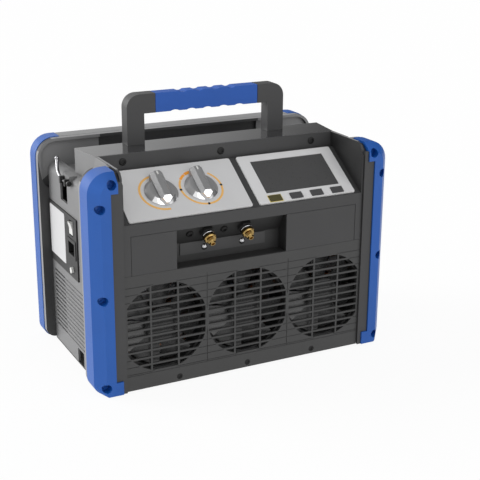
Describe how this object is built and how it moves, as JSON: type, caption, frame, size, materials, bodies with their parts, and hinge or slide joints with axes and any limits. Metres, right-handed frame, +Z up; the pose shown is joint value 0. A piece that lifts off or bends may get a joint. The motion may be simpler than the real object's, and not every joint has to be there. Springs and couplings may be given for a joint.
{
  "type": "refrigerant recovery machine",
  "caption": "Portable refrigerant recovery machine: grey case, blue corner guards, carrying handle, sloping console with valve knobs and display, flare ports and three fans.",
  "frame": {"origin": "on the floor under the middle of the machine", "axes": "+X to the right of a person facing the console, +Y to the back, +Z up"},
  "size_m": [0.43, 0.2549, 0.362],
  "materials": {
    "shell": "satin dark grey moulding",
    "cover": "satin mid grey moulding",
    "base": "satin black paint",
    "grille": "satin grey moulding",
    "guard": "satin blue moulding",
    "grip": "matt blue sleeve",
    "plate": "satin light grey paint",
    "black_plastic": "satin black moulding",
    "white_plastic": "satin white moulding",
    "rubber": "matt black",
    "screen": "gloss dark grey window",
    "board": "green circuit board",
    "knob": "satin silver",
    "steel": "brushed",
    "dark_steel": "black oxide",
    "chrome": "polished",
    "brass": "bright",
    "copper": "bright copper tube",
    "alloy": "cast"
  },
  "bodies": {
    "case": {"base_plate": "base", "rubber_feet": "rubber", "front_frame": "shell", "front_grille": "grille", "rear_frame": "shell", "rear_grille": "grille", "top_cover": "cover", "side_cover_left": "cover", "side_cover_right": "cover", "guard_front_left": "guard", "guard_front_right": "guard", "guard_rear_left": "guard", "guard_rear_right": "guard", "guard_screws": "dark_steel", "front_screws": "dark_steel", "handle_frame": "shell", "handle_grip": "grip", "handle_bolts": "steel", "valve_panel": "plate", "display_panel": "plate", "lcd_screen": "screen", "display_board": "board", "valve_manifold": "alloy", "port_tray": "black_plastic", "port_collars": "black_plastic", "inlet_port_fitting": "brass", "outlet_port_fitting": "brass", "port_dome_nuts": "chrome", "fan_frame_left": "black_plastic", "fan_frame_centre": "black_plastic", "fan_frame_right": "black_plastic", "condenser_fins": "alloy", "condenser_tubes": "copper", "condenser_end_plates": "steel", "motor_housing": "alloy", "crankcase": "alloy", "cylinders": "alloy", "cylinder_heads": "alloy", "suction_pipe": "copper", "discharge_pipes": "copper", "power_panel": "black_plastic", "inlet_socket": "black_plastic", "strap_hook_brackets": "black_plastic", "control_board": "board"},
    "inlet_knob": {"inlet_knob": "knob", "inlet_valve_stem": "brass"},
    "outlet_knob": {"outlet_knob": "knob", "outlet_valve_stem": "brass"},
    "button_menu": {"button_menu": "black_plastic"},
    "button_up": {"button_up": "black_plastic"},
    "button_down": {"button_down": "black_plastic"},
    "button_start": {"button_start": "black_plastic"},
    "fan_impeller_left": {"fan_impeller_left": "grille"},
    "fan_impeller_centre": {"fan_impeller_centre": "grille"},
    "fan_impeller_right": {"fan_impeller_right": "grille"},
    "motor_rotor": {"motor_rotor": "steel"},
    "strap_hook_left": {"strap_hook_left": "steel"},
    "strap_hook_right": {"strap_hook_right": "steel"},
    "power_switch": {"power_switch": "white_plastic"},
    "breaker_button": {"breaker_button": "white_plastic"}
  },
  "joints": [
    {"name": "inlet_knob_turn", "type": "hinge", "parent": "case", "child": "inlet_knob", "pos_m": [-0.106, -0.08094, 0.25022], "axis": [0, -0.5446, 0.8387], "range_deg": [0, 180]},
    {"name": "outlet_knob_turn", "type": "hinge", "parent": "case", "child": "outlet_knob", "pos_m": [-0.05, -0.08094, 0.25022], "axis": [0, -0.5446, 0.8387], "range_deg": [0, 320]},
    {"name": "button_menu_press", "type": "slide", "parent": "case", "child": "button_menu", "axis": [0, 0.5446, -0.8387], "range_m": [0, 0.0012], "stiffness_N_per_m": 500, "springref_m": -0.0005},
    {"name": "button_up_press", "type": "slide", "parent": "case", "child": "button_up", "axis": [0, 0.5446, -0.8387], "range_m": [0, 0.0012], "stiffness_N_per_m": 500, "springref_m": -0.0005},
    {"name": "button_down_press", "type": "slide", "parent": "case", "child": "button_down", "axis": [0, 0.5446, -0.8387], "range_m": [0, 0.0012], "stiffness_N_per_m": 500, "springref_m": -0.0005},
    {"name": "button_start_press", "type": "slide", "parent": "case", "child": "button_start", "axis": [0, 0.5446, -0.8387], "range_m": [0, 0.0012], "stiffness_N_per_m": 500, "springref_m": -0.0005},
    {"name": "fan_left_spin", "type": "hinge", "parent": "case", "child": "fan_impeller_left", "pos_m": [-0.12, -0.1, 0.085], "axis": [0, 1, 0], "continuous": true},
    {"name": "fan_centre_spin", "type": "hinge", "parent": "case", "child": "fan_impeller_centre", "pos_m": [0, -0.1, 0.085], "axis": [0, 1, 0], "continuous": true},
    {"name": "fan_right_spin", "type": "hinge", "parent": "case", "child": "fan_impeller_right", "pos_m": [0.12, -0.1, 0.085], "axis": [0, 1, 0], "continuous": true},
    {"name": "motor_spin", "type": "hinge", "parent": "case", "child": "motor_rotor", "pos_m": [0, 0.05, 0.092], "axis": [0, 1, 0], "continuous": true},
    {"name": "strap_hook_left_swing", "type": "hinge", "parent": "case", "child": "strap_hook_left", "pos_m": [-0.2035, 0.005, 0.256], "axis": [0, -1, 0], "range_deg": [0, 110]},
    {"name": "strap_hook_right_swing", "type": "hinge", "parent": "case", "child": "strap_hook_right", "pos_m": [0.2035, 0.005, 0.256], "axis": [0, 1, 0], "range_deg": [0, 110]},
    {"name": "power_switch_rock", "type": "hinge", "parent": "case", "child": "power_switch", "pos_m": [-0.1985, -0.005, 0.195], "axis": [0, 1, 0], "range_deg": [0, 12]},
    {"name": "breaker_press", "type": "slide", "parent": "case", "child": "breaker_button", "axis": [1, 0, 0], "range_m": [0, 0.002], "stiffness_N_per_m": 500, "springref_m": -0.0005}
  ]
}
